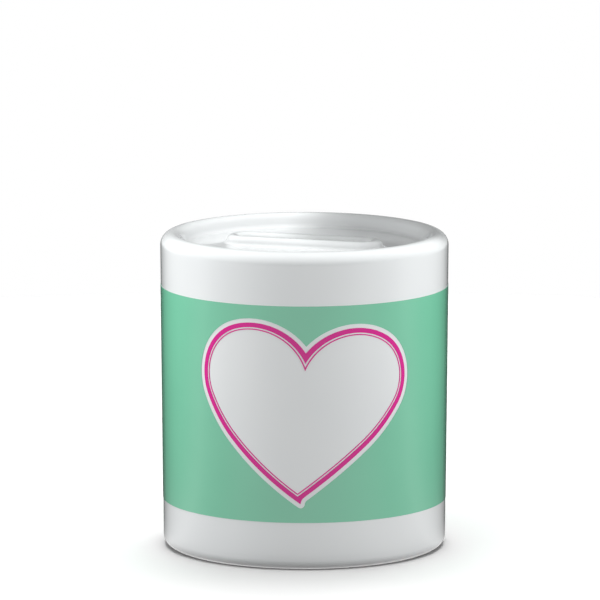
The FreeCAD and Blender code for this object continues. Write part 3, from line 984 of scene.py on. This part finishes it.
def make_table_glow():
    """What the glaze mirrors of the table: bright before the jar, dark behind it, with soft ends."""
    glow = flat_rings("studio_glow", (0.0, GLOW_RADIUS), make_mirrored_table(), GLOW_HEIGHT, GLOW_STEPS)
    glow.rotation_euler = (0, 0, PRINT_AZIMUTH)
    hide_from(glow, "camera", "diffuse", "shadow", "transmission")


def make_card(name, radii, place, stops_bounced_light):
    """A dark card, round or a ring, that no view or reflection shows; it only takes light away."""
    black = Shader("black_card", Roughness=0.9, Base_Color=(0.0, 0.0, 0.0, 1.0))
    card = flat_rings(name, radii, black.material)
    card.location = from_camera_side(*place)
    card.visible_diffuse = stops_bounced_light
    hide_from(card, "camera", "glossy", "transmission")


def make_backdrop():
    """A plain white surround, and the same white under the floor, that only the camera sees."""
    white, glow_colour = glowing_material("white_backdrop", 1.0)
    glow_colour.default_value = (1.0, 1.0, 1.0, 1.0)
    bpy.ops.mesh.primitive_uv_sphere_add(
        radius=BACKDROP_RADIUS, segments=BACKDROP_SEGMENTS, ring_count=BACKDROP_RINGS)
    backdrop = bpy.context.object
    backdrop.name = "studio_backdrop"
    backdrop.data.materials.append(white)
    underside = flat_rings("studio_underside", (FLOOR_HOLE_RADIUS, FLOOR_RADIUS), white)
    underside.location.z = UNDERSIDE_HEIGHT
    for item in (backdrop, underside):
        hide_from(item, "diffuse", "glossy", "transmission", "shadow")


def make_lamp(name, place, aim_height, size, radiance, receivers):
    """A soft light that shines only on the receivers and is never mirrored in them."""
    data = bpy.data.lights.new(name, "AREA")
    data.shape = "RECTANGLE"
    data.size, data.size_y = size
    data.energy = radiance * math.pi * size[0] * size[1]
    data.color = LIGHT_COLOUR
    light = bpy.data.objects.new(name, data)
    light.location = from_camera_side(*place)
    light.rotation_euler = rotation_towards(Vector((0.0, 0.0, aim_height)), light.location)
    hide_from(light, "glossy")
    bpy.context.scene.collection.objects.link(light)
    group = bpy.data.collections.new(name + "_receivers")
    for item in receivers:
        group.objects.link(item)
    light.light_linking.receiver_collection = group


def make_lamps(floor):
    """Lamps round and above the jar that light its pieces, and one that lights the floor."""
    for name, (azimuth, distance, height, radiance) in SIDE_LAMPS.items():
        turn = math.radians(azimuth)
        place = (distance * math.sin(turn), -distance * math.cos(turn), height)
        make_lamp(name, place, height - SIDE_LAMP_DROP, SIDE_LAMP_SIZE, radiance, pieces)
    for name, (place, radiance) in HIGH_LAMPS.items():
        make_lamp(name, place, HIGH_LAMP_AIM, HIGH_LAMP_SIZE, radiance, pieces)
    make_lamp("lamp_floor", FLOOR_LAMP_PLACE, 0.0, FLOOR_LAMP_SIZE, FLOOR_LAMP_RADIANCE, [floor])


def make_world():
    """Even light from all round the jar, stronger from below its middle than from above."""
    world = bpy.data.worlds.new("studio_air")
    world.use_nodes = True
    nodes, links = world.node_tree.nodes, world.node_tree.links
    background = nodes["Background"]
    background.inputs["Color"].default_value = (*LIGHT_COLOUR, 1.0)
    place = nodes.new("ShaderNodeTexCoord")
    split = nodes.new("ShaderNodeSeparateXYZ")
    links.new(place.outputs["Generated"], split.inputs["Vector"])
    level = nodes.new("ShaderNodeMapRange")
    level.interpolation_type = "SMOOTHSTEP"
    level.inputs["From Min"].default_value = -WORLD_BLEND
    level.inputs["From Max"].default_value = WORLD_BLEND
    level.inputs["To Min"].default_value = WORLD_BELOW
    level.inputs["To Max"].default_value = WORLD_ABOVE
    links.new(split.outputs["Z"], level.inputs["Value"])
    links.new(level.outputs["Result"], background.inputs["Strength"])
    world.cycles_visibility.camera = False
    bpy.context.scene.world = world


def make_camera():
    """A long lens at the photograph's viewing angle."""
    data = bpy.data.cameras.new("camera")
    data.lens = CAMERA_LENS
    data.sensor_width = SENSOR_WIDTH
    data.clip_start = CAMERA_CLIP_START
    data.clip_end = CAMERA_CLIP_END
    camera = bpy.data.objects.new("camera", data)
    camera.location = from_camera_side(0.0, -CAMERA_DISTANCE, CAMERA_HEIGHT)
    aim_height = CAMERA_HEIGHT - CAMERA_DISTANCE * math.tan(CAMERA_PITCH)
    aim = from_camera_side(-CAMERA_SIDE_AIM, 0.0, aim_height)
    camera.rotation_euler = rotation_towards(aim, camera.location)
    bpy.context.scene.collection.objects.link(camera)
    bpy.context.scene.camera = camera


studio_floor = make_floor()
make_table_glow()
make_card("studio_flag", (CARD_PINHOLE, FLAG_RADIUS), FLAG_PLACE, stops_bounced_light=False)
make_card("studio_underlay", (FLOOR_HOLE_RADIUS, UNDERLAY_RADIUS), UNDERLAY_PLACE,
          stops_bounced_light=False)
make_card("studio_contact", (FLOOR_HOLE_RADIUS, CONTACT_RADIUS), CONTACT_PLACE,
          stops_bounced_light=True)
make_backdrop()
make_lamps(studio_floor)
make_world()
make_camera()
bpy.context.scene.view_settings.view_transform = "Standard"
